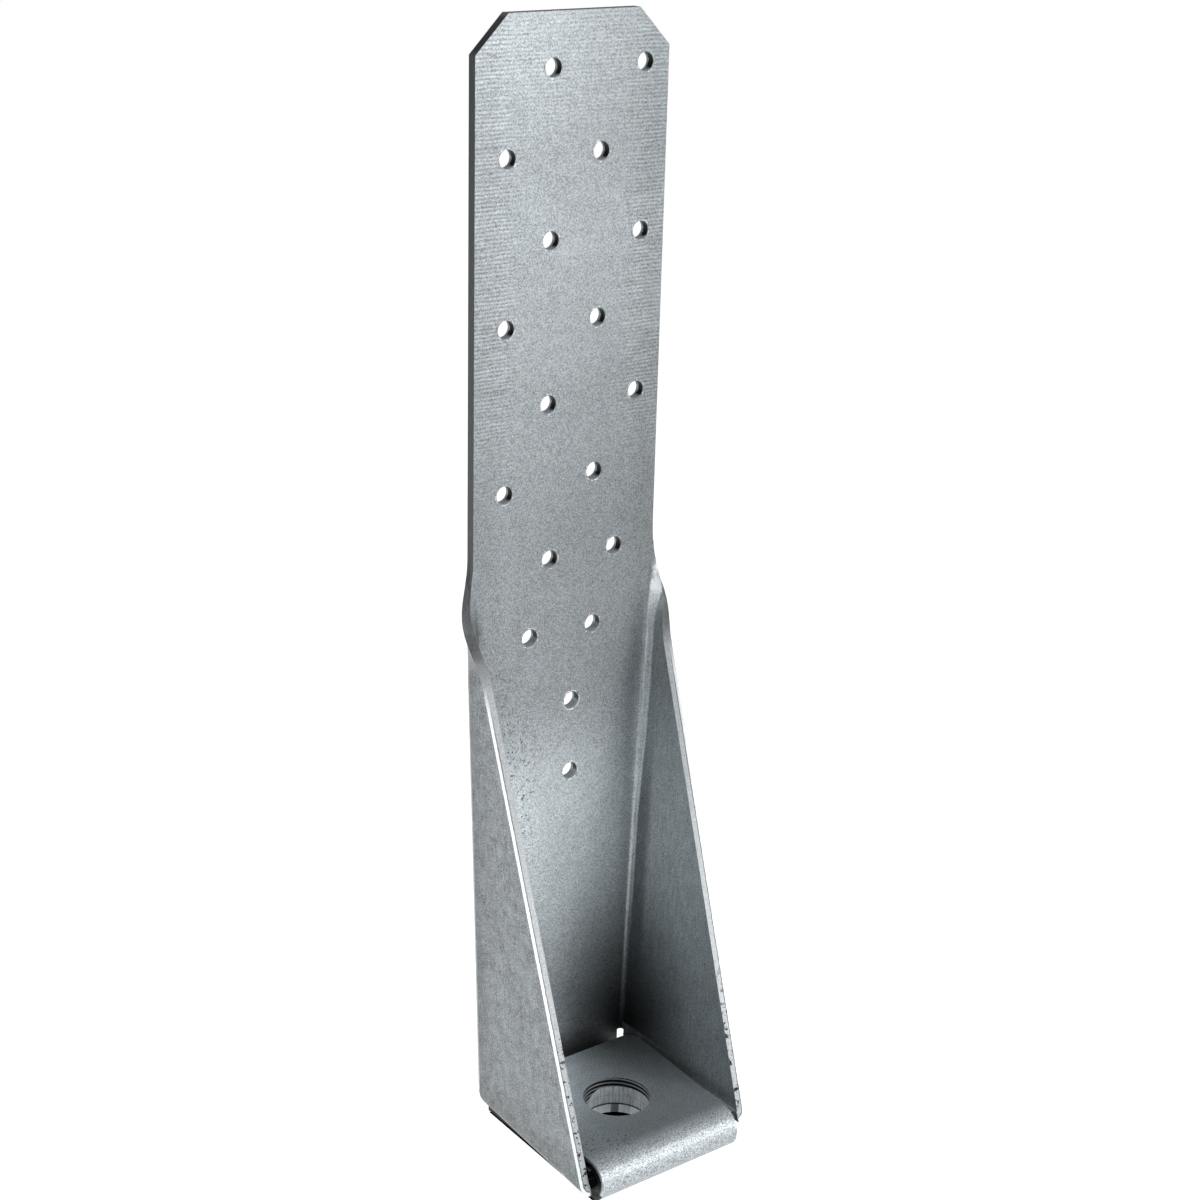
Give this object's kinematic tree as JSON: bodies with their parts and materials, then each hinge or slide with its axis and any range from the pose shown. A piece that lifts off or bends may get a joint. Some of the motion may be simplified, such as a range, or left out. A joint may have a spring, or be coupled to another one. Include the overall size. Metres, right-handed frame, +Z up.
{
  "type": "hold down bracket",
  "caption": "Folded galvanised steel hold down bracket: tall nailing strap, sloping side flanges and a thick folded seat with an anchor bolt hole.",
  "frame": {"origin": "middle of the underside of the bracket, level with the bottom ply", "axes": "+Z up along the strap, +Y out of the strap's back towards the post, +X across the strap to the right as seen from the front"},
  "size_m": [0.068, 0.061, 0.3143],
  "materials": {
    "galvanised_steel": "galvanised, dull grey with a fine grain; sheared edges brighter and rough"
  },
  "bodies": {
    "root": {"bracket": "galvanised_steel"}
  },
  "joints": []
}
